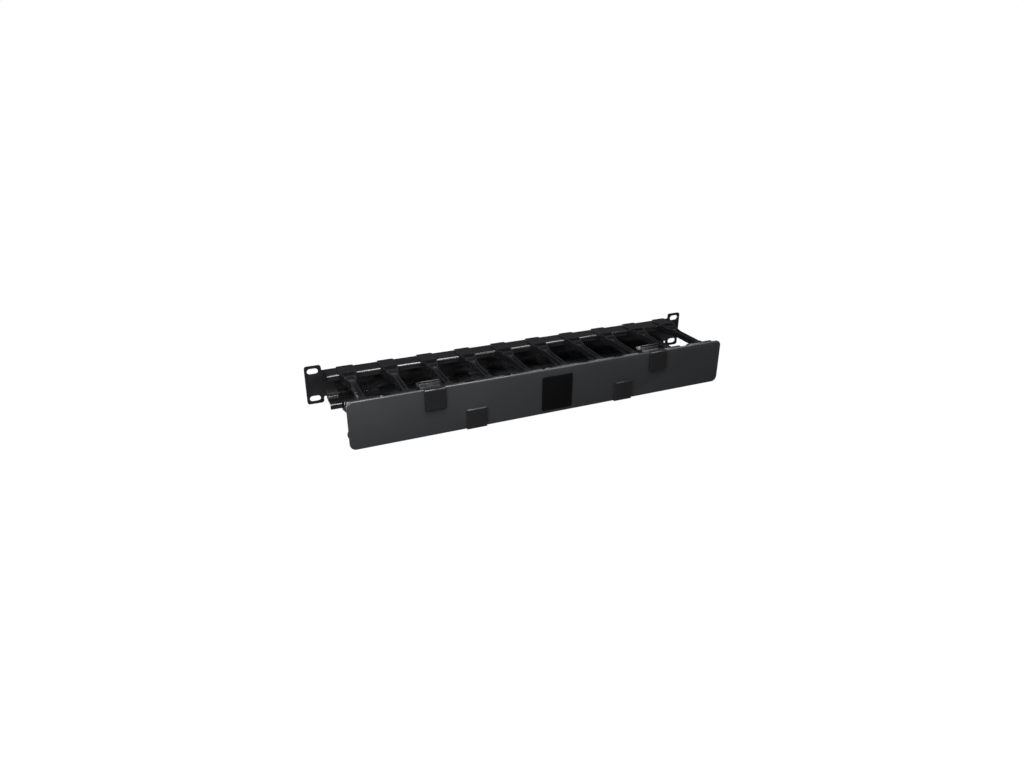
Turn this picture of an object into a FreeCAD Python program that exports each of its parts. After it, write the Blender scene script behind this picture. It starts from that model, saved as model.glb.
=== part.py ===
"""Horizontal cable manager for a 19-inch rack, one unit high.

A folded steel panel carries two rows of ten plastic fingers, clipped on the lips of its two
flanges. Each finger ends in a cross bar. Four clips hold a flat cover on those bars: the two
upper ones are the hinge, the two lower ones rest on the lower bars while the cover is closed.

Frame: origin at the centre of the ears' rear face, X to the right, Y to the rear, Z up,
millimetres. The front of the product looks along -Y.
"""
import FreeCAD
import Part
import math
import os
import re
import Sketcher

FINGERS_IN_A_ROW = 10
HALF_ROUND = "half round"
SIDES = {"left": "-", "right": ""}
START, END, CENTRE = 1, 2, 3

DRIVING_SIZES = {
    "rack_width": 482.6,
    "panel_height": 44.0,
    "sheet": 1.5,
    "ear_width": 18.1,
    "ear_corner": 2.8,
    "slot_inset": 8.75,
    "slot_rise": 31.75,
    "slot_length": 11.7,
    "slot_width": 6.4,
    "relief_head": 15.6,
    "relief_foot": -14.8,
    "relief_corner": 1.3,
    "relief_width": 2.9,
    "flange_level": 16.5,
    "flange_depth": 21.8,
    "lip_drop": 6.3,
    "bend_outside": 2.5,
    "row_drop": 33.2,
    "row_left": 21.4,
    "row_right": 14.6,
    "seat_gap": 0.2,
    "hook_width": 18.8,
    "hook_plate": 1.5,
    "hook_corner": 1.4,
    "tongue_width": 13.0,
    "tongue_thick": 1.5,
    "tongue_rise": 3.2,
    "wall": 1.5,
    "neck_width": 13.0,
    "neck_reach": 35.5,
    "neck_rib": 3.0,
    "arm_start": 50.0,
    "arm_width": 6.2,
    "arm_depth": 7.0,
    "arm_groove": 2.7,
    "groove_stop": 7.0,
    "flare": 1.2,
    "bar_reach": 91.5,
    "bar_level": 12.5,
    "bar_diameter": 8.0,
    "bar_length": 36.0,
    "cover_inset": 1.1,
    "cover_height": 51.6,
    "cover_drop": 1.5,
    "cover_standoff": 21.9,
    "cover_thick": 2.5,
    "cover_corner": 6.5,
    "cover_edge": 0.8,
    "top_clip_share": 0.3,
    "bottom_clip_share": 0.2,
    "clip_width": 22.0,
    "clip_height": 22.3,
    "clip_plate": 2.5,
    "clip_back": 1.5,
    "clip_wrap": 1.7,
    "clip_edge": 0.8,
    "back_height": 20.0,
    "jaw_gap": 0.3,
    "jaw_wall": 2.2,
    "jaw_mouth": 52.0,
    "lead_length": 6.6,
    "lead_angle": 30.0,
    "lead_thick": 1.4,
    "shelf_step": 1.2,
    "tab_rise": 5.4,
    "tab_thick": 4.0,
    "tab_lean": 2.4,
    "groove_height": 1.0,
    "groove_depth": 2.9,
    "saddle_reach": 3.0,
    "badge_width": 36.0,
    "badge_height": 39.6,
    "badge_thick": 1.0,
    "badge_shift": 5.0,
    "badge_drop": 3.4,
    "badge_corner": 2.0,
    "badge_edge": 0.4,
}
DERIVED_SIZES = {
    "trough_width": "=rack_width - 2 * (ear_width + relief_width)",
    "finger_pitch": "=(trough_width - row_left - row_right) / %d" % (FINGERS_IN_A_ROW - 1),
    "row_centre": "=(row_left - row_right) / 2",
    "cover_width": "=trough_width - 2 * cover_inset",
    "cover_reach": "=bar_reach + cover_standoff",
}
SIZES = {**DRIVING_SIZES, **DERIVED_SIZES}

doc = FreeCAD.newDocument("horizontal_cable_manager")
sheet = doc.addObject("Spreadsheet::Sheet", "Sizes")
for row, (alias, value) in enumerate(SIZES.items(), start=1):
    sheet.set("A%d" % row, alias)
    sheet.setAlias("B%d" % row, alias)
    sheet.set("B%d" % row, str(value))
doc.recompute()


# Binding sizes to the sheet
def bound(text):
    """The expression with each alias read from the sheet."""
    names = "|".join(sorted(SIZES, key=len, reverse=True))
    return re.sub(r"\b(%s)\b" % names, r"Sizes.\1", text)


def number(text):
    """The value that an expression has now."""
    value = sheet.evalExpression(bound(text))
    return float(getattr(value, "Value", value))


def set_size(feature, name, text):
    feature.setExpression(name, bound(text))


# Bodies, sketches and their features
def new_body(label):
    body = doc.addObject("PartDesign::Body", label)
    body.Label = label
    return body


def new_sketch(body, name, plane, offset=None):
    """A sketch on one of the body's own origin planes, moved off it by an expression."""
    sketch = body.newObject("Sketcher::SketchObject", name)
    origin_plane = [f for f in body.Origin.OriginFeatures if f.Role == plane][0]
    sketch.AttachmentSupport = [(origin_plane, "")]
    sketch.MapMode = "FlatFace"
    if offset:
        set_size(sketch, "AttachmentOffset.Base.z", offset)
    return sketch


def bind_constraint(sketch, text, kind, *places):
    """Adds a constraint whose value is an expression."""
    index = sketch.addConstraint(Sketcher.Constraint(kind, *places, number(text)))
    set_size(sketch, "Constraints[%d]" % index, text)


def fix_point(sketch, curve, end, point):
    """Holds a curve's end at a place given by two expressions."""
    for kind, text in zip(("DistanceX", "DistanceY"), point):
        bind_constraint(sketch, text, kind, -1, START, curve, end)


def arc_between(first, last, radius, centre_left):
    """The short arc of a radius between two points, its centre left or right of the way."""
    along = last - first
    across = FreeCAD.Vector(-along.y, along.x, 0).normalize()
    if not centre_left:
        across = -across
    apothem = math.sqrt(max(radius ** 2 - (along.Length / 2) ** 2, 0))
    crown = first + along * 0.5 - across * (radius - apothem)
    return Part.Arc(first, crown, last)


def draw_outline(sketch, points, arcs=None):
    """A closed outline through points given by expressions.

    arcs gives, for the segments that are round, the radius and the side of the centre.
    HALF_ROUND as the radius is a half circle between two points at one place along the first
    axis.
    """
    arcs = arcs or {}
    places = [FreeCAD.Vector(number(x), number(y), 0) for x, y in points]
    curves = []
    for i, place in enumerate(places):
        following = places[(i + 1) % len(places)]
        if i in arcs:
            radius, side = arcs[i]
            half_round = radius is HALF_ROUND
            size = place.distanceToPoint(following) / 2 if half_round else number(radius)
            curve = sketch.addGeometry(arc_between(place, following, size, side == "left"))
            start, end = (START, END) if side == "left" else (END, START)
            if half_round:
                bind_constraint(sketch, points[i][0], "DistanceX", -1, START, curve, CENTRE)
            else:
                bind_constraint(sketch, radius, "Radius", curve)
        else:
            curve = sketch.addGeometry(Part.LineSegment(place, following))
            start, end = START, END
        curves.append((curve, start, end))
    for i, (curve, start, end) in enumerate(curves):
        before = curves[i - 1]
        sketch.addConstraint(Sketcher.Constraint("Coincident", before[0], before[2], curve, start))
        fix_point(sketch, curve, start, points[i])


def rectangle(left, right, low, high):
    return [(left, low), (right, low), (right, high), (left, high)]


def draw_circle(sketch, centre, radius):
    place = FreeCAD.Vector(number(centre[0]), number(centre[1]), 0)
    curve = sketch.addGeometry(Part.Circle(place, FreeCAD.Vector(0, 0, 1), number(radius)))
    bind_constraint(sketch, radius, "Radius", curve)
    fix_point(sketch, curve, CENTRE, centre)


def pad(body, sketch, length, both_sides=False, reverse=False):
    feature = body.newObject("PartDesign::Pad", sketch.Name + "_pad")
    feature.Profile = sketch
    set_size(feature, "Length", length)
    feature.SideType = "Symmetric" if both_sides else "One side"
    feature.Reversed = reverse
    sketch.Visibility = False
    doc.recompute()
    return feature


def pocket(body, sketch, length, both_sides=False, reverse=False):
    """A cut, checked by the volume that it takes away."""
    before = body.Shape.Volume
    feature = body.newObject("PartDesign::Pocket", sketch.Name + "_pocket")
    feature.Profile = sketch
    set_size(feature, "Length", length)
    feature.SideType = "Symmetric" if both_sides else "One side"
    feature.Reversed = reverse
    sketch.Visibility = False
    doc.recompute()
    if body.Shape.Volume >= before - 1e-6:
        raise RuntimeError(feature.Name + " cuts nothing")
    return feature


def dress_edges(body, name, kind, size_name, size, chosen):
    """Dresses the edges of the body's tip that the test chooses."""
    base = body.Tip
    names = ["Edge%d" % i for i, edge in enumerate(base.Shape.Edges, start=1) if chosen(edge)]
    if not names:
        raise RuntimeError(name + " finds no edge")
    feature = body.newObject(kind, name)
    feature.Base = (base, names)
    set_size(feature, size_name, size)
    doc.recompute()
    return feature


def round_edges(body, name, radius, chosen):
    return dress_edges(body, name, "PartDesign::Fillet", "Radius", radius, chosen)


def slope_edges(body, name, length, chosen):
    return dress_edges(body, name, "PartDesign::Chamfer", "Size", length, chosen)


def runs_along(edge, axis):
    """Whether a straight edge is parallel to an axis."""
    if not isinstance(edge.Curve, Part.Line):
        return False
    return abs(abs(getattr(edge.Curve.Direction, axis)) - 1) < 1e-6


def middle(edge):
    return edge.valueAt((edge.FirstParameter + edge.LastParameter) / 2)


def close(value, text, slack=1e-4):
    return abs(value - number(text)) < slack


# Rear panel: folded steel with two flanges, ears, slots and bend reliefs
def build_rear_panel():
    body = new_body("rear_panel")
    lower = "flange_level - row_drop"

    # Section of the trough, drawn in Y and Z: web, two flanges and the lips at their fronts
    section = new_sketch(body, "trough_section", "YZ_Plane")
    draw_outline(section, [
        ("0", "flange_level"),
        ("-flange_depth", "flange_level"),
        ("-flange_depth", "flange_level - lip_drop"),
        ("-flange_depth + sheet", "flange_level - lip_drop"),
        ("-flange_depth + sheet", "flange_level - sheet"),
        ("-sheet", "flange_level - sheet"),
        ("-sheet", lower),
        ("-flange_depth", lower),
        ("-flange_depth", lower + " - lip_drop"),
        ("-flange_depth + sheet", lower + " - lip_drop"),
        ("-flange_depth + sheet", lower + " - sheet"),
        ("0", lower + " - sheet"),
    ])
    pad(body, section, "trough_width", both_sides=True)

    outside = [("0", "flange_level"), ("-flange_depth", "flange_level"),
               ("-flange_depth", lower), ("0", lower + " - sheet")]
    inside = [("-flange_depth + sheet", "flange_level - sheet"), ("-sheet", "flange_level - sheet"),
              ("-flange_depth + sheet", lower + " - sheet"), ("-sheet", lower)]

    def at_corner(corners):
        places = [(number(y), number(z)) for y, z in corners]
        return lambda edge: runs_along(edge, "x") and any(
            math.hypot(middle(edge).y - y, middle(edge).z - z) < 1e-4 for y, z in places)

    round_edges(body, "outside_bends", "bend_outside", at_corner(outside))
    round_edges(body, "inside_bends", "bend_outside - sheet", at_corner(inside))

    # Ears, each with the tongue that joins it to the web between the bend reliefs
    ears = new_sketch(body, "ears", "XZ_Plane")
    for side in SIDES.values():
        edge = side + "rack_width / 2"
        inner = side + "(rack_width / 2 - ear_width)"
        root = side + "trough_width / 2"
        draw_outline(ears, [
            (edge, "-panel_height / 2"), (inner, "-panel_height / 2"), (inner, "relief_foot"),
            (root, "relief_foot"), (root, "relief_head"), (inner, "relief_head"),
            (inner, "panel_height / 2"), (edge, "panel_height / 2"),
        ])
    pad(body, ears, "sheet")

    def ear_corner(edge):
        return runs_along(edge, "y") and close(abs(middle(edge).z), "panel_height / 2")

    def relief_corner(edge):
        place = middle(edge)
        at_ear = close(abs(place.x), "rack_width / 2 - ear_width")
        return runs_along(edge, "y") and at_ear and not close(abs(place.z), "panel_height / 2")

    round_edges(body, "ear_corners", "ear_corner", ear_corner)
    round_edges(body, "relief_corners", "relief_corner", relief_corner)

    # Four slots on the rack's hole spacing, long way along X
    slots = new_sketch(body, "rack_slots", "XZ_Plane")
    half_flat = "(slot_length - slot_width) / 2"
    for side in SIDES.values():
        x = side + "(rack_width / 2 - slot_inset)"
        for z in ("-slot_rise / 2", "slot_rise / 2"):
            low, high = z + " - slot_width / 2", z + " + slot_width / 2"
            left, right = x + " - " + half_flat, x + " + " + half_flat
            draw_outline(slots, rectangle(left, right, low, high),
                         {1: (HALF_ROUND, "left"), 3: (HALF_ROUND, "left")})
    pocket(body, slots, "4 * sheet", both_sides=True)
    return body


# Finger: one moulding, drawn for the upper row with its middle at X = 0
def build_finger():
    body = new_body("finger_moulding")
    lip_front = "flange_depth + seat_gap"
    arm_foot = "bar_level + bar_diameter / 2 - arm_depth"
    root_foot = "flange_level - lip_drop - seat_gap - tongue_thick"
    plate_top = "flange_level + hook_plate"

    # Arm in plan: a taper from the neck, a straight run and a short flare into the cross bar
    half = "arm_width / 2"
    flare_start = "-(bar_reach - bar_diameter / 2 - flare)"
    flare_end = "-(bar_reach - bar_diameter / 2)"
    arm = new_sketch(body, "arm_plan", "XY_Plane", arm_foot)
    draw_outline(arm, [
        ("neck_width / 2", "-neck_reach"),
        ("-neck_width / 2", "-neck_reach"),
        ("-" + half, "-arm_start"),
        ("-" + half, flare_start),
        ("-(%s + flare)" % half, flare_end),
        ("-(%s + flare)" % half, "-bar_reach"),
        ("%s + flare" % half, "-bar_reach"),
        ("%s + flare" % half, flare_end),
        (half, flare_start),
        (half, "-arm_start"),
    ])
    pad(body, arm, "arm_depth")

    # Root frame in front of the lip, ending in the cross rib at the neck
    root = new_sketch(body, "root_plan", "XY_Plane", root_foot)
    draw_outline(root, [
        ("hook_width / 2", "-(%s)" % lip_front),
        ("-hook_width / 2", "-(%s)" % lip_front),
        ("-neck_width / 2", "-neck_reach"),
        ("neck_width / 2", "-neck_reach"),
    ])
    pad(body, root, "%s - (%s)" % (plate_top, root_foot))
    window = new_sketch(body, "root_window", "XY_Plane", root_foot)
    draw_outline(window, [
        ("hook_width / 2 - wall", "-(%s + wall)" % lip_front),
        ("-(hook_width / 2 - wall)", "-(%s + wall)" % lip_front),
        ("-(neck_width / 2 - wall)", "-(neck_reach - neck_rib)"),
        ("neck_width / 2 - wall", "-(neck_reach - neck_rib)"),
    ])
    pocket(body, window, "2 * (%s - (%s))" % (plate_top, root_foot), both_sides=True)

    # Hook plate that lies on the flange and ends before the web's bend
    hook_rear = "-(bend_outside + seat_gap)"
    hook = new_sketch(body, "hook_plan", "XY_Plane", "flange_level")
    draw_outline(hook, rectangle("-hook_width / 2", "hook_width / 2",
                                 "-(%s + wall)" % lip_front, hook_rear))
    pad(body, hook, "hook_plate")
    slope_edges(body, "hook_corners", "hook_corner",
                lambda edge: runs_along(edge, "z") and close(middle(edge).y, hook_rear))

    # Tongue that passes under the lip's edge and stands up behind it
    tongue = new_sketch(body, "tongue_section", "YZ_Plane")
    lip_back = "flange_depth - sheet - seat_gap"
    draw_outline(tongue, [
        ("-(%s + wall)" % lip_front, root_foot),
        ("-(%s - tongue_thick)" % lip_back, root_foot),
        ("-(%s - tongue_thick)" % lip_back, root_foot + " + tongue_thick + tongue_rise"),
        ("-(%s)" % lip_back, root_foot + " + tongue_thick + tongue_rise"),
        ("-(%s)" % lip_back, root_foot + " + tongue_thick"),
        ("-(%s + wall)" % lip_front, root_foot + " + tongue_thick"),
    ])
    pad(body, tongue, "tongue_width", both_sides=True)

    # Grooves above and below the arm's web leave two rims
    inner = "(arm_width / 2 - wall)"
    neck_inner = "(neck_width / 2 - wall)"
    for name, foot in (("upper_groove", arm_foot + " + arm_depth - arm_groove"),
                       ("lower_groove", arm_foot)):
        groove = new_sketch(body, name, "XY_Plane", foot)
        draw_outline(groove, [
            (neck_inner, "-neck_reach"),
            ("-" + neck_inner, "-neck_reach"),
            ("-" + inner, "-arm_start"),
            ("-" + inner, "-(bar_reach - groove_stop)"),
            (inner, "-(bar_reach - groove_stop)"),
            (inner, "-arm_start"),
        ])
        pocket(body, groove, "arm_groove", reverse=True)

    # Round cross bar
    bar = new_sketch(body, "bar_section", "YZ_Plane")
    draw_circle(bar, ("-bar_reach", "bar_level"), "bar_diameter / 2")
    pad(body, bar, "bar_length", both_sides=True)
    return body


def place_fingers(moulding):
    """Ten copies of the moulding on each flange, the lower row straight below the upper one."""
    fingers = []
    middle_place = (FINGERS_IN_A_ROW - 1) / 2
    for row_name, drop in (("upper", "0 * row_drop"), ("lower", "-row_drop")):
        for i in range(FINGERS_IN_A_ROW):
            finger = doc.addObject("App::Link", "%s_finger_%02d" % (row_name, i + 1))
            finger.Label = "%s_finger_%02d" % (row_name, i + 1)
            finger.LinkedObject = moulding
            set_size(finger, "Placement.Base.x",
                     "row_centre + %g * finger_pitch" % (i - middle_place))
            set_size(finger, "Placement.Base.z", drop)
            fingers.append(finger)
    doc.recompute()
    return fingers


# Cover: flat plate with a notch in its edge for each clip's wrap
COVER_TOP = "(cover_height / 2 - cover_drop)"
COVER_FOOT = "(-cover_height / 2 - cover_drop)"


def clip_place(row, side):
    """Place of a clip along X, a share of the cover's width left or right of its middle."""
    return "%s%s_clip_share * cover_width" % (SIDES[side], row)


def build_cover():
    body = new_body("cover")
    plate = new_sketch(body, "cover_outline", "XZ_Plane", "cover_reach - cover_thick")
    draw_outline(plate, rectangle("-cover_width / 2", "cover_width / 2", COVER_FOOT, COVER_TOP))
    pad(body, plate, "cover_thick")
    round_edges(body, "cover_corners", "cover_corner", lambda edge: runs_along(edge, "y"))
    slope_edges(body, "cover_front_edge", "cover_edge",
                lambda edge: close(middle(edge).y, "-cover_reach"))
    notches = new_sketch(body, "clip_notches", "XZ_Plane", "cover_reach - cover_thick")
    for row, edge, outward, inward in (("top", COVER_TOP, " + ", " - "),
                                       ("bottom", COVER_FOOT, " - ", " + ")):
        for side in SIDES:
            place = clip_place(row, side)
            left, right = place + " - clip_width / 2", place + " + clip_width / 2"
            draw_outline(notches, rectangle(left, right, edge + outward + "clip_wrap",
                                            edge + inward + "clip_wrap"))
    pocket(body, notches, "4 * cover_thick", both_sides=True)
    return body


# Clips: one moulding for the hinge at the top, one for the rest at the bottom
def build_clip(label, hinge):
    """A clip at X = 0: a band around the cover's edge and a jaw for the cross bars' ends."""
    body = new_body(label)
    edge, inward = (COVER_TOP, "-") if hinge else (COVER_FOOT, "+")
    level = "bar_level" if hinge else "(bar_level - row_drop)"
    front = "-(cover_reach + clip_plate)"
    rear_face = "-(cover_reach - cover_thick)"
    back = "-(cover_reach - cover_thick - clip_back)"
    seat = "%s %s clip_wrap" % (edge, inward)
    plate_end = "%s %s clip_height" % (edge, inward)
    back_end = "%s %s back_height" % (edge, inward)
    bore = "(bar_diameter / 2 + jaw_gap)"
    outside = "(bar_diameter / 2 + jaw_gap + jaw_wall)"

    # Band: front plate, wrap in the cover's notch and back plate
    band = new_sketch(body, label + "_band", "YZ_Plane")
    draw_outline(band, [(front, edge), (front, plate_end), ("-cover_reach", plate_end),
                        ("-cover_reach", seat), (rear_face, seat), (rear_face, back_end),
                        (back, back_end), (back, edge)])
    pad(body, band, "clip_width", both_sides=True)

    # Jaw on a box of webs that reaches back to the cross bars
    webs = new_sketch(body, label + "_webs", "YZ_Plane")
    draw_outline(webs, rectangle(back, "-bar_reach", level + " - " + outside, level + " + " + outside))
    pad(body, webs, "clip_width", both_sides=True)
    if hinge:
        add_snap_jaw(body, label, level, bore, outside)
        roof = add_release_tab(body, label, level, back, outside)
    else:
        add_rest(body, label, level, bore, outside)
        roof = level + " + " + bore
    hollow = new_sketch(body, label + "_hollow", "YZ_Plane")
    draw_outline(hollow, rectangle(back, "-bar_reach - " + outside, level + " - " + bore, roof))
    pocket(body, hollow, "2 * clip_width", both_sides=True)
    slope_edges(body, label + "_front_edge", "clip_edge", lambda e: close(middle(e).y, front))
    return body


def add_snap_jaw(body, label, level, bore, outside):
    """A C-shaped jaw, open to the rear, with a lead-in lip above and below its mouth."""
    ring = new_sketch(body, label + "_ring", "YZ_Plane")
    draw_circle(ring, ("-bar_reach", level), outside)
    pad(body, ring, "clip_width", both_sides=True)
    hole = new_sketch(body, label + "_bore", "YZ_Plane")
    draw_circle(hole, ("-bar_reach", level), bore)
    pocket(body, hole, "2 * clip_width", both_sides=True)

    far = "2 * " + outside
    mouth = new_sketch(body, label + "_mouth", "YZ_Plane")
    draw_outline(mouth, [
        ("-bar_reach", level),
        ("-bar_reach + %s * cos(jaw_mouth)" % far, "%s - %s * sin(jaw_mouth)" % (level, far)),
        ("-bar_reach + %s * cos(jaw_mouth)" % far, "%s + %s * sin(jaw_mouth)" % (level, far)),
    ])
    pocket(body, mouth, "2 * clip_width", both_sides=True)

    for name, up in (("upper", "+"), ("lower", "-")):
        lip = new_sketch(body, "%s_%s_lip" % (label, name), "YZ_Plane")
        root = ("-bar_reach + %s * cos(jaw_mouth)" % bore, "%s %s %s * sin(jaw_mouth)" % (level, up, bore))
        along = (" + lead_length * cos(lead_angle)", " %s lead_length * sin(lead_angle)" % up)
        over = (" - lead_thick * sin(lead_angle)", " %s lead_thick * cos(lead_angle)" % up)
        draw_outline(lip, [root, (root[0] + along[0], root[1] + along[1]),
                           (root[0] + along[0] + over[0], root[1] + along[1] + over[1]),
                           (root[0] + over[0], root[1] + over[1])])
        pad(body, lip, "clip_width", both_sides=True)


def add_release_tab(body, label, level, back, outside):
    """A shelf above the jaw and a grooved tab at its rear; gives the level of its underside."""
    shelf = "%s + %s + shelf_step" % (level, outside)
    underside = shelf + " - jaw_wall"
    face = "-bar_reach - " + outside
    tab = new_sketch(body, label + "_tab", "YZ_Plane")
    draw_outline(tab, [
        (back, underside), (back, shelf), (face, shelf),
        (face + " + tab_lean", shelf + " + tab_rise"), (face + " + tab_thick", shelf + " + tab_rise"),
        (face + " + tab_thick", underside),
    ])
    pad(body, tab, "clip_width", both_sides=True)
    groove = new_sketch(body, label + "_tab_groove", "YZ_Plane")
    draw_outline(groove, rectangle(face, face + " + groove_depth", shelf + " + tab_rise - 2 * groove_height",
                                   shelf + " + tab_rise - groove_height"))
    pocket(body, groove, "2 * clip_width", both_sides=True)
    return underside


def add_rest(body, label, level, bore, outside):
    """A trough, open to the rear, that passes the lower bars as the cover swings."""
    foot = new_sketch(body, label + "_foot", "YZ_Plane")
    draw_outline(foot, rectangle("-bar_reach", "-bar_reach + saddle_reach",
                                 level + " - " + outside, level + " - " + bore))
    pad(body, foot, "clip_width", both_sides=True)
    trough = new_sketch(body, label + "_trough", "YZ_Plane")
    open_end = "-bar_reach + 2 * " + outside
    draw_outline(trough, [
        ("-bar_reach", level + " + " + bore), ("-bar_reach", level + " - " + bore),
        (open_end, level + " - " + bore), (open_end, level + " + " + bore),
    ], {0: (HALF_ROUND, "left")})
    pocket(body, trough, "2 * clip_width", both_sides=True)


def place_clips(moulding, row):
    """Copies of a clip left and right of the cover's middle."""
    clips = []
    for side in SIDES:
        clip = doc.addObject("App::Link", "%s_clip_%s" % (row, side))
        clip.Label = "%s_clip_%s" % (row, side)
        clip.LinkedObject = moulding
        set_size(clip, "Placement.Base.x", clip_place(row, side))
        clips.append(clip)
    doc.recompute()
    return clips


# Badge: bare raised plate on the cover's front, a little right of its middle
def build_badge_plate():
    body = new_body("badge_plate")
    plate = new_sketch(body, "badge_outline", "XZ_Plane", "cover_reach")
    draw_outline(plate, rectangle("badge_shift - badge_width / 2", "badge_shift + badge_width / 2",
                                  "-badge_drop - badge_height / 2", "-badge_drop + badge_height / 2"))
    pad(body, plate, "badge_thick")
    round_edges(body, "badge_corners", "badge_corner", lambda edge: runs_along(edge, "y"))
    slope_edges(body, "badge_front_edge", "badge_edge",
                lambda edge: close(middle(edge).y, "-(cover_reach + badge_thick)"))
    return body


def check_document():
    for item in doc.Objects:
        if "Invalid" in item.State or "Error" in item.State:
            raise RuntimeError("%s: %s" % (item.Label, item.State))


def export(subparts):
    os.makedirs("parts", exist_ok=True)
    for subpart in subparts:
        shape = Part.getShape(subpart)
        if shape.isNull() or not shape.isValid() or len(shape.Solids) != 1:
            raise RuntimeError("%s has no single valid solid" % subpart.Label)
    for subpart in subparts:
        shape = Part.getShape(subpart)
        shape.exportStep("parts/%s.step" % subpart.Label)
        print("%-20s %9.1f mm3 %4d faces" % (subpart.Label, shape.Volume, len(shape.Faces)))


subparts = [build_rear_panel()]
subparts += place_fingers(build_finger())
subparts.append(build_cover())
subparts += place_clips(build_clip("top_clip_moulding", hinge=True), "top")
subparts += place_clips(build_clip("bottom_clip_moulding", hinge=False), "bottom")
subparts.append(build_badge_plate())
doc.recompute()
check_document()
export(subparts)
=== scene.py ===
# %% [markdown]
# A horizontal cable manager for a 19-inch rack. A folded steel panel carries two rows of
# plastic fingers, and four clips hang a flat cover on the fingers' cross bars. The packed
# model gives every solid its real size and place, so this lesson only dresses it: rounded
# edges, finishes, light and a camera.

# %% Load the fixed frame
import bmesh
import bpy
import math
from mathutils import Matrix, Vector


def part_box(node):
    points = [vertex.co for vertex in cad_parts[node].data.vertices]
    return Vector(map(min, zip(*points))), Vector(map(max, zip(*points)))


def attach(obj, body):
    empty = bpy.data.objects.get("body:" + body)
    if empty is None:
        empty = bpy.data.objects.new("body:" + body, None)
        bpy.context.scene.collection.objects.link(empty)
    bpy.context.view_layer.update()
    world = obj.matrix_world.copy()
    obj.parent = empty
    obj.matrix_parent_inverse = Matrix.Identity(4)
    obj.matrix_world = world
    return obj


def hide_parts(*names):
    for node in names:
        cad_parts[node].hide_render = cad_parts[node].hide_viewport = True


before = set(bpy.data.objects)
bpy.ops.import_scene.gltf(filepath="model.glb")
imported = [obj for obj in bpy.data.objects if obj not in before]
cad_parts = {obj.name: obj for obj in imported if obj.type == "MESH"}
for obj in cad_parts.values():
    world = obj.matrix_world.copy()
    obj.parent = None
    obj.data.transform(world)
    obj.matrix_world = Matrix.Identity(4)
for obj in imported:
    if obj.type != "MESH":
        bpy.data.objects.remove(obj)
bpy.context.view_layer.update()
MM = 0.001
print("nodes:", len(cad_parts))

# %% [markdown]
# The camera stands to the left of the manager and above it. Its place and angles were found
# by fitting the rack standard's known sizes to the picture, so they are plain numbers here.
# A matrix made from three axes is the shortest way to aim a camera that also has some roll.

# %% Directions of the camera
CAMERA_AZIMUTH = math.radians(-23.82)
CAMERA_ELEVATION = math.radians(23.76)
CAMERA_ROLL = math.radians(0.27)


def camera_axes():
    """The camera's right, up and back directions."""
    back = Vector((math.sin(CAMERA_AZIMUTH) * math.cos(CAMERA_ELEVATION),
                   -math.cos(CAMERA_AZIMUTH) * math.cos(CAMERA_ELEVATION),
                   math.sin(CAMERA_ELEVATION)))
    level = Vector((math.cos(CAMERA_AZIMUTH), math.sin(CAMERA_AZIMUTH), 0))
    upright = back.cross(level)
    right = level * math.cos(CAMERA_ROLL) + upright * math.sin(CAMERA_ROLL)
    up = upright * math.cos(CAMERA_ROLL) - level * math.sin(CAMERA_ROLL)
    return right, up, back


axes = Matrix(camera_axes()).transposed().to_4x4()
print("the camera looks along", [round(-v, 3) for v in camera_axes()[-1]])

# %% Camera
CAMERA_PLACE = Vector((-323.15, -736.62, 314.61)) * MM
SENSOR_WIDTH = 36.0
FOCAL_LENGTH = 25.24
NEAR_CLIP = 0.01
FAR_CLIP = 50


def new_object(name, data):
    """An object with that data, linked to the scene's own collection."""
    thing = bpy.data.objects.new(name, data)
    bpy.context.scene.collection.objects.link(thing)
    return thing


lens = bpy.data.cameras.new("camera")
lens.sensor_width = SENSOR_WIDTH
lens.lens = FOCAL_LENGTH
lens.clip_start = NEAR_CLIP
lens.clip_end = FAR_CLIP
camera = new_object("camera", lens)
camera.matrix_world = Matrix.Translation(CAMERA_PLACE) @ axes
bpy.context.scene.camera = camera
print("camera at", [round(v, 3) for v in CAMERA_PLACE])

# %% [markdown]
# Black parts only show by what they reflect, so each finish gets its own roughness and its
# own fine relief. Powder coat on steel has a soft orange-peel, and moulded plastic has a
# spark-eroded grain. Modelled, such a relief would need millions of faces, so both are noise
# textures on Object coordinates, read by a Bump node. A second, slow noise shifts the
# roughness a little, as handling does.

# %% Noise for the grain and for the handling
GRAIN_DETAIL = 3
HANDLING_SCALE = 28
HANDLING_DETAIL = 4


def noise(tree, place, scale, detail):
    """The value of a noise texture with that many waves to the metre."""
    texture = tree.nodes.new("ShaderNodeTexNoise")
    texture.inputs["Scale"].default_value = scale
    texture.inputs["Detail"].default_value = detail
    tree.links.new(place, texture.inputs["Vector"])
    return texture.outputs["Fac"]


print("a wave of handling is %.0f mm long" % (1 / HANDLING_SCALE / MM))

# %% Relief, gloss and colour from the noise
RELIEF_STRENGTH = 0.6
HANDLING_LOW, HANDLING_HIGH = 0.3, 0.7
MOTTLE = 0.06
DARKER, LIGHTER = 0.85, 1.15


def add_relief(tree, shader, grain, depth):
    """Raises the grain by that depth."""
    relief = tree.nodes.new("ShaderNodeBump")
    relief.inputs["Strength"].default_value = RELIEF_STRENGTH
    relief.inputs["Distance"].default_value = depth * MM
    tree.links.new(grain, relief.inputs["Height"])
    tree.links.new(relief.outputs["Normal"], shader.inputs["Normal"])


def add_gloss(tree, shader, handling, roughness):
    """Moves the roughness up and down with the slow noise."""
    gloss = tree.nodes.new("ShaderNodeMapRange")
    gloss.inputs["From Min"].default_value = HANDLING_LOW
    gloss.inputs["From Max"].default_value = HANDLING_HIGH
    gloss.inputs["To Min"].default_value = roughness - MOTTLE
    gloss.inputs["To Max"].default_value = roughness + MOTTLE
    tree.links.new(handling, gloss.inputs["Value"])
    tree.links.new(gloss.outputs["Result"], shader.inputs["Roughness"])


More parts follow.
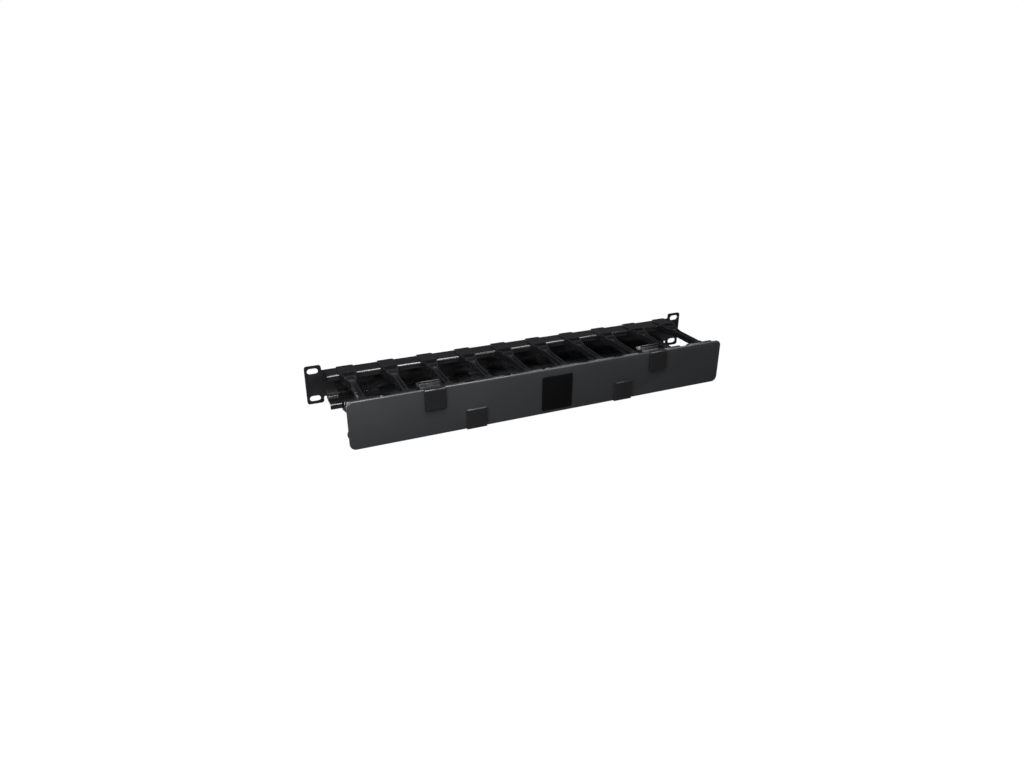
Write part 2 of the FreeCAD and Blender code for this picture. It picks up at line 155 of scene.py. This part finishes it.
def add_colour(tree, shader, grain, colour):
    """Makes the colour slightly darker and lighter with the grain."""
    tint = tree.nodes.new("ShaderNodeMix")
    tint.data_type = "RGBA"
    tint.inputs["A"].default_value = (*[part * DARKER for part in colour], 1)
    tint.inputs["B"].default_value = (*[part * LIGHTER for part in colour], 1)
    tree.links.new(grain, tint.inputs["Factor"])
    tree.links.new(tint.outputs["Result"], shader.inputs["Base Color"])


print("roughness varies by %.2f either way" % MOTTLE)

# %% Finishes of the five kinds of piece
def new_finish(name, colour, roughness, grain_size, grain_depth, specular):
    """A dark coat; its grain's size and depth are in millimetres."""
    material = bpy.data.materials.new(name)
    material.use_nodes = True
    tree = material.node_tree
    shader = tree.nodes["Principled BSDF"]
    shader.inputs["Specular IOR Level"].default_value = specular
    place = tree.nodes.new("ShaderNodeTexCoord").outputs["Object"]
    grain = noise(tree, place, 1 / (grain_size * MM), GRAIN_DETAIL)
    handling = noise(tree, place, HANDLING_SCALE, HANDLING_DETAIL)
    add_relief(tree, shader, grain, grain_depth)
    add_gloss(tree, shader, handling, roughness)
    add_colour(tree, shader, grain, colour)
    print("finish:", name)
    return material


powder_coat = new_finish("panel_powder_coat", (0.006, 0.006, 0.007), roughness=0.25,
                         grain_size=0.9, grain_depth=0.03, specular=0.9)
finger_plastic = new_finish("finger_plastic", (0.007, 0.007, 0.008), roughness=0.28,
                            grain_size=0.5, grain_depth=0.02, specular=0.6)
cover_plastic = new_finish("cover_plastic", (0.030, 0.031, 0.033), roughness=0.40,
                           grain_size=0.45, grain_depth=0.03, specular=0.5)
clip_plastic = new_finish("clip_plastic", (0.011, 0.011, 0.012), roughness=0.28,
                          grain_size=0.5, grain_depth=0.01, specular=0.6)
badge_plastic = new_finish("badge_plastic", (0.0018, 0.0018, 0.0018), roughness=0.50,
                           grain_size=0.4, grain_depth=0.015, specular=0.15)

# %% [markdown]
# A moulded or sheared edge is never sharp: its small radius draws a thin bright line, and
# the eye reads the shape from that line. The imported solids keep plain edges, so each one is
# copied, its loose triangles are merged and joined into flat faces, and a Bevel modifier
# rounds the edges by a few tenths of a millimetre.

# %% Helper that joins loose triangles
MERGE_DISTANCE = 0.002 * MM
FLAT_ANGLE = math.radians(0.5)
END_SEGMENTS = 3
ROUND_PROFILE = 0.5


def join_triangles(mesh, round_more):
    """Makes flat faces of a solid's triangles, and rounds the edges that round_more names."""
    form = bmesh.new()
    form.from_mesh(mesh)
    bmesh.ops.remove_doubles(form, verts=form.verts, dist=MERGE_DISTANCE)
    bmesh.ops.dissolve_limit(form, angle_limit=FLAT_ANGLE, verts=form.verts,
                             edges=form.edges, delimit={"NORMAL"})
    if round_more:
        chosen, radius = round_more
        bmesh.ops.bevel(form, geom=[edge for edge in form.edges if chosen(edge)],
                        offset=radius * MM, offset_type="OFFSET", segments=END_SEGMENTS,
                        profile=ROUND_PROFILE, affect="EDGES")
    form.to_mesh(mesh)
    form.free()


print("corners within %.3f mm are merged" % (MERGE_DISTANCE / MM))

# %% Helper that copies a solid and rounds its edges
EDGE_ANGLE = math.radians(32)
EDGE_SEGMENTS = 2


def settle(piece):
    """Makes the evaluated shape the piece's own mesh, smooth up to the edge angle."""
    bpy.context.view_layer.update()
    evaluated = piece.evaluated_get(bpy.context.evaluated_depsgraph_get())
    mesh = bpy.data.meshes.new_from_object(evaluated)
    piece.modifiers.clear()
    old = piece.data
    piece.data = mesh
    mesh.name = piece.name
    bpy.data.meshes.remove(old)
    mesh.shade_smooth()
    mesh.set_sharp_from_angle(angle=EDGE_ANGLE)


def dressed_copy(node, name, edge_radius, round_more=None):
    """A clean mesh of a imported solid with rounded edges, at the solid's own place.

    round_more is a test for edges and the larger radius that those get.
    """
    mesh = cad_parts[node].data.copy()
    mesh.name = name
    join_triangles(mesh, round_more)
    piece = new_object(name, mesh)
    bevel = piece.modifiers.new("rounded_edges", "BEVEL")
    bevel.width = edge_radius * MM
    bevel.segments = EDGE_SEGMENTS
    bevel.limit_method = "ANGLE"
    bevel.angle_limit = EDGE_ANGLE
    settle(piece)
    return piece


print("edges of more than %.0f degrees are rounded" % math.degrees(EDGE_ANGLE))

# %% [markdown]
# The panel is one sheet of steel, cut flat and folded at four lines. Its outside bends catch
# the brightest light in the picture. A wide bevel could draw them here, but then the solid
# would lack them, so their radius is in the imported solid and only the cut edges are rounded.

# %% Rear panel
SHEET_EDGE_RADIUS = 0.25


def finish_piece(piece, material, body, slot, *nodes):
    """Gives a piece its finish, its body and the solids that it stands for."""
    piece.data.materials.clear()
    piece.data.materials.append(material)
    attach(piece, body)
    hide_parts(*nodes)
    print(piece.name, len(piece.data.polygons), "faces")


panel = dressed_copy("rear_panel", "panel_sheet", SHEET_EDGE_RADIUS)
finish_piece(panel, powder_coat, "frame", "panel_steel", "rear_panel")

# %% [markdown]
# All twenty fingers come from one mould. Geometry Nodes fit that: the first finger stays at
# its own place and is instanced on a grid of steps, ten across and two down. The pitch and
# the drop between the rows are the tree's inputs, and both are measured from the packed
# solids. The cross bar's ends are rounded much more than the other edges, because cables
# slide past them.

# %% Steps between the fingers
FINGERS_IN_A_ROW = 10
UPPER = ["upper_finger_%02d" % (i + 1) for i in range(FINGERS_IN_A_ROW)]
LOWER = ["lower_finger_%02d" % (i + 1) for i in range(FINGERS_IN_A_ROW)]


def centre_of(node):
    """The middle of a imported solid's box."""
    low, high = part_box(node)
    return (low + high) / 2


FINGER_PITCH = (centre_of(UPPER[-1]).x - centre_of(UPPER[0]).x) / (FINGERS_IN_A_ROW - 1)
ROW_DROP = centre_of(UPPER[0]).z - centre_of(LOWER[0]).z
print("pitch %.2f mm, drop %.2f mm" % (FINGER_PITCH / MM, ROW_DROP / MM))

# %% One finger with round bar ends
MOULDED_EDGE_RADIUS = 0.3
BAR_END_RADIUS = 2.2
BAR_ENDS = [corner.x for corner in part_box(UPPER[0])]


def at_bar_end(edge):
    """Whether an edge lies in one of the end faces of the first finger's cross bar."""
    return any(all(abs(corner.co.x - end) < MERGE_DISTANCE for corner in edge.verts)
               for end in BAR_ENDS)


mould = dressed_copy(UPPER[0], "finger_mould", MOULDED_EDGE_RADIUS,
                     round_more=(at_bar_end, BAR_END_RADIUS))
print("one finger has", len(mould.data.polygons), "faces")

# %% Inputs of the Geometry Nodes tree
TREE_INPUTS = {"Finger": "NodeSocketObject", "Fingers in a row": "NodeSocketInt",
               "Pitch": "NodeSocketFloat", "Row drop": "NodeSocketFloat",
               "Finish": "NodeSocketMaterial"}

tree = bpy.data.node_groups.new("finger_rows", "GeometryNodeTree")
face = tree.interface
face.new_socket("Geometry", in_out="INPUT", socket_type="NodeSocketGeometry")
sockets = {name: face.new_socket(name, in_out="INPUT", socket_type=kind).identifier
           for name, kind in TREE_INPUTS.items()}
face.new_socket("Geometry", in_out="OUTPUT", socket_type="NodeSocketGeometry")
nodes, link = tree.nodes, tree.links.new
inputs = nodes.new("NodeGroupInput")
output = nodes.new("NodeGroupOutput")
print("inputs:", ", ".join(sockets))

# %% Points of the upper row
step = nodes.new("ShaderNodeCombineXYZ")
link(inputs.outputs["Pitch"], step.inputs["X"])
row = nodes.new("GeometryNodeMeshLine")
row.mode = "OFFSET"
link(inputs.outputs["Fingers in a row"], row.inputs["Count"])
link(step.outputs[0], row.inputs["Offset"])
print("a line of points, one pitch apart")

# %% Points of both rows
down = nodes.new("ShaderNodeMath")
down.operation = "MULTIPLY"
down.inputs[1].default_value = -1
link(inputs.outputs["Row drop"], down.inputs[0])
drop = nodes.new("ShaderNodeCombineXYZ")
link(down.outputs[0], drop.inputs["Z"])
lower = nodes.new("GeometryNodeTransform")
link(row.outputs["Mesh"], lower.inputs["Geometry"])
link(drop.outputs[0], lower.inputs["Translation"])
rows = nodes.new("GeometryNodeJoinGeometry")
link(row.outputs["Mesh"], rows.inputs["Geometry"])
link(lower.outputs["Geometry"], rows.inputs["Geometry"])
print("the same line again, one drop lower")

# %% A finger on each point
finger = nodes.new("GeometryNodeObjectInfo")
link(inputs.outputs["Finger"], finger.inputs["Object"])
fingers = nodes.new("GeometryNodeInstanceOnPoints")
link(rows.outputs[0], fingers.inputs["Points"])
link(finger.outputs["Geometry"], fingers.inputs["Instance"])
real = nodes.new("GeometryNodeRealizeInstances")
finish = nodes.new("GeometryNodeSetMaterial")
link(fingers.outputs[0], real.inputs[0])
link(real.outputs[0], finish.inputs["Geometry"])
link(inputs.outputs["Finish"], finish.inputs["Material"])
link(finish.outputs[0], output.inputs[0])
print("the tree has", len(nodes), "nodes")

# %% Two rows of fingers
finger_rows = new_object("finger_rows", bpy.data.meshes.new("finger_rows"))
layout = finger_rows.modifiers.new("layout", "NODES")
layout.node_group = tree
for name, value in (("Finger", mould), ("Fingers in a row", FINGERS_IN_A_ROW),
                    ("Pitch", FINGER_PITCH), ("Row drop", ROW_DROP),
                    ("Finish", finger_plastic)):
    layout[sockets[name]] = value
settle(finger_rows)
bpy.data.objects.remove(mould)
finish_piece(finger_rows, finger_plastic, "frame", "finger_plastic", *UPPER, *LOWER)

# %% [markdown]
# The cover is a plain satin plate. Its clips are smoother and darker, and they wrap around
# its edge. The badge is a bare raised plate, duller and almost black. One mesh with three
# materials would do as well, but as pieces of their own each gets its own edge radius.

# %% Cover, clips and badge
COVER_EDGE_RADIUS = 0.2
BADGE_EDGE_RADIUS = 0.15
CLIPS = ["top_clip_left", "top_clip_right", "bottom_clip_left", "bottom_clip_right"]

cover = dressed_copy("cover", "cover_plate", COVER_EDGE_RADIUS)
finish_piece(cover, cover_plastic, "cover", "cover_plastic", "cover")
for node in CLIPS:
    clip = dressed_copy(node, node + "_moulding", MOULDED_EDGE_RADIUS)
    finish_piece(clip, clip_plastic, "cover", "clip_plastic", node)
badge = dressed_copy("badge_plate", "badge_bare_plate", BADGE_EDGE_RADIUS)
finish_piece(badge, badge_plastic, "cover", "badge_plastic", "badge_plate")

# %% [markdown]
# The picture has no shadow in view, so the floor lies well below the manager. The camera
# sees it and the world as pure white. Glossy and transmission rays get a small share of
# that white too, because the real black faces mirrored a darkened studio. All other rays
# see a matt grey floor and a black world, so little light bounces into the trough. A Light
# Path node tells the rays apart, which needs no second lamp or hidden backdrop.

# %% Helper that shares out the white background
RAYS = "Is Camera Ray", "Is Glossy Ray", "Is Transmission Ray"


def background_share(tree, by_camera, by_gloss):
    """How much of the white background each kind of ray sees, as one socket."""
    path = tree.nodes.new("ShaderNodeLightPath")
    total = None
    for kind, share in zip(RAYS, (by_camera, by_gloss, by_gloss)):
        term = tree.nodes.new("ShaderNodeMath")
        term.operation = "MULTIPLY_ADD"
        tree.links.new(path.outputs[kind], term.inputs[0])
        term.inputs[1].default_value = share
        term.inputs[2].default_value = 0
        if total:
            tree.links.new(total, term.inputs[2])
        total = term.outputs[0]
    return total


print("rays that see white:", ", ".join(RAYS))

# %% White paper for the floor
FLOOR_COLOUR = 0.15
FLOOR_ROUGHNESS = 0.9
WHITE_STRENGTH = 1.12
WHITE_SEEN_BY_CAMERA = 0.9
WHITE_SEEN_BY_GLOSS = 0.03

paper = bpy.data.materials.new("white_paper")
paper.use_nodes = True
paper_nodes, paper_link = paper.node_tree.nodes, paper.node_tree.links.new
matt = paper_nodes["Principled BSDF"]
matt.inputs["Base Color"].default_value = (FLOOR_COLOUR, FLOOR_COLOUR, FLOOR_COLOUR, 1)
matt.inputs["Roughness"].default_value = FLOOR_ROUGHNESS
white = paper_nodes.new("ShaderNodeEmission")
white.inputs["Strength"].default_value = WHITE_STRENGTH
blend = paper_nodes.new("ShaderNodeMixShader")
paper_share = background_share(paper.node_tree, WHITE_SEEN_BY_CAMERA, WHITE_SEEN_BY_GLOSS)
paper_link(paper_share, blend.inputs[0])
paper_link(matt.outputs[0], blend.inputs[1])
paper_link(white.outputs[0], blend.inputs[2])
paper_link(blend.outputs[0], paper_nodes["Material Output"].inputs["Surface"])
print("floor: white for the camera, %.2f grey for the rest" % FLOOR_COLOUR)

# %% Floor
FLOOR_LEVEL = -0.60
FLOOR_SIZE = 12.0

floor_mesh = bpy.data.meshes.new("floor")
half = FLOOR_SIZE / 2
corners = [(x * half, y * half, FLOOR_LEVEL) for x, y in ((-1, -1), (1, -1), (1, 1), (-1, 1))]
floor_mesh.from_pydata(corners, [], [(0, 1, 2, 3)])
floor_mesh.materials.append(paper)
floor = new_object("floor", floor_mesh)
print("floor %.0f m wide at %.2f m" % (FLOOR_SIZE, FLOOR_LEVEL))

# %% World
WORLD_SEEN_BY_CAMERA = 1
WORLD_SEEN_BY_GLOSS = 0.05

world = bpy.data.worlds.new("studio")
bpy.context.scene.world = world
world.use_nodes = True
sky = world.node_tree.nodes["Background"]
sky.inputs["Color"].default_value = (1, 1, 1, 1)
sky_share = background_share(world.node_tree, WORLD_SEEN_BY_CAMERA, WORLD_SEEN_BY_GLOSS)
world.node_tree.links.new(sky_share, sky.inputs["Strength"])
print("world: white for the camera, %.2f for gloss" % WORLD_SEEN_BY_GLOSS)

# %% [markdown]
# Black parts are lit through their reflections. A small lamp would show in them as a hard
# spot, so all lamps are soft boxes. A large one above the left half draws the bright lines
# on the bends, and a long one over the right carries them on. Two small ones close to the
# left end light the cover, so that it grows darker towards the right, as it does in the
# picture. One far in front glints on the left clip's release tab, and one low behind shows
# the panel's back in other views. It stands below the manager, so that no face that looks
# up mirrors it. The camera doesn't see the boxes.

# %% Soft boxes
def soft_box(name, place, target, size, power):
    """A rectangular area lamp aimed at a point."""
    lamp = bpy.data.lights.new(name, "AREA")
    lamp.shape = "RECTANGLE"
    lamp.size, lamp.size_y = size
    lamp.energy = power
    holder = new_object(name, lamp)
    holder.location = place
    aim = Vector(target) - Vector(place)
    holder.rotation_euler = aim.to_track_quat("-Z", "Y").to_euler()
    holder.visible_camera = False
    print("soft box:", name)


# Each row gives a box's name, its place, the point it is aimed at and its size in metres,
# and its power in watts.
SOFT_BOXES = (
    ("overhead_left", (-0.10, -0.35, 0.95), (0, -0.06, 0), (0.45, 0.45), 12.2),
    ("overhead_right", (0.55, -0.10, 0.95), (0.3, -0.03, 0), (0.9, 0.35), 8.0),
    ("left_key", (-0.50, -0.40, 0.30), (-0.12, -0.06, 0), (0.2, 0.2), 2.0),
    ("left_near", (-0.36, -0.32, 0.30), (-0.14, -0.06, 0), (0.18, 0.18), 1.1),
    ("front_glint", (0.24, -1.25, 0.50), (-0.12, -0.10, 0.02), (0.5, 0.5), 2.4),
    ("rear_fill", (-0.50, 1.00, -0.20), (0, 0, 0), (0.8, 0.4), 5),
)
for box in SOFT_BOXES:
    soft_box(*box)

# %% [markdown]
# The Standard view shows a colour about as it is written, where a film-like view would grey
# the white background.

# %% View
bpy.context.scene.view_settings.view_transform = "Standard"
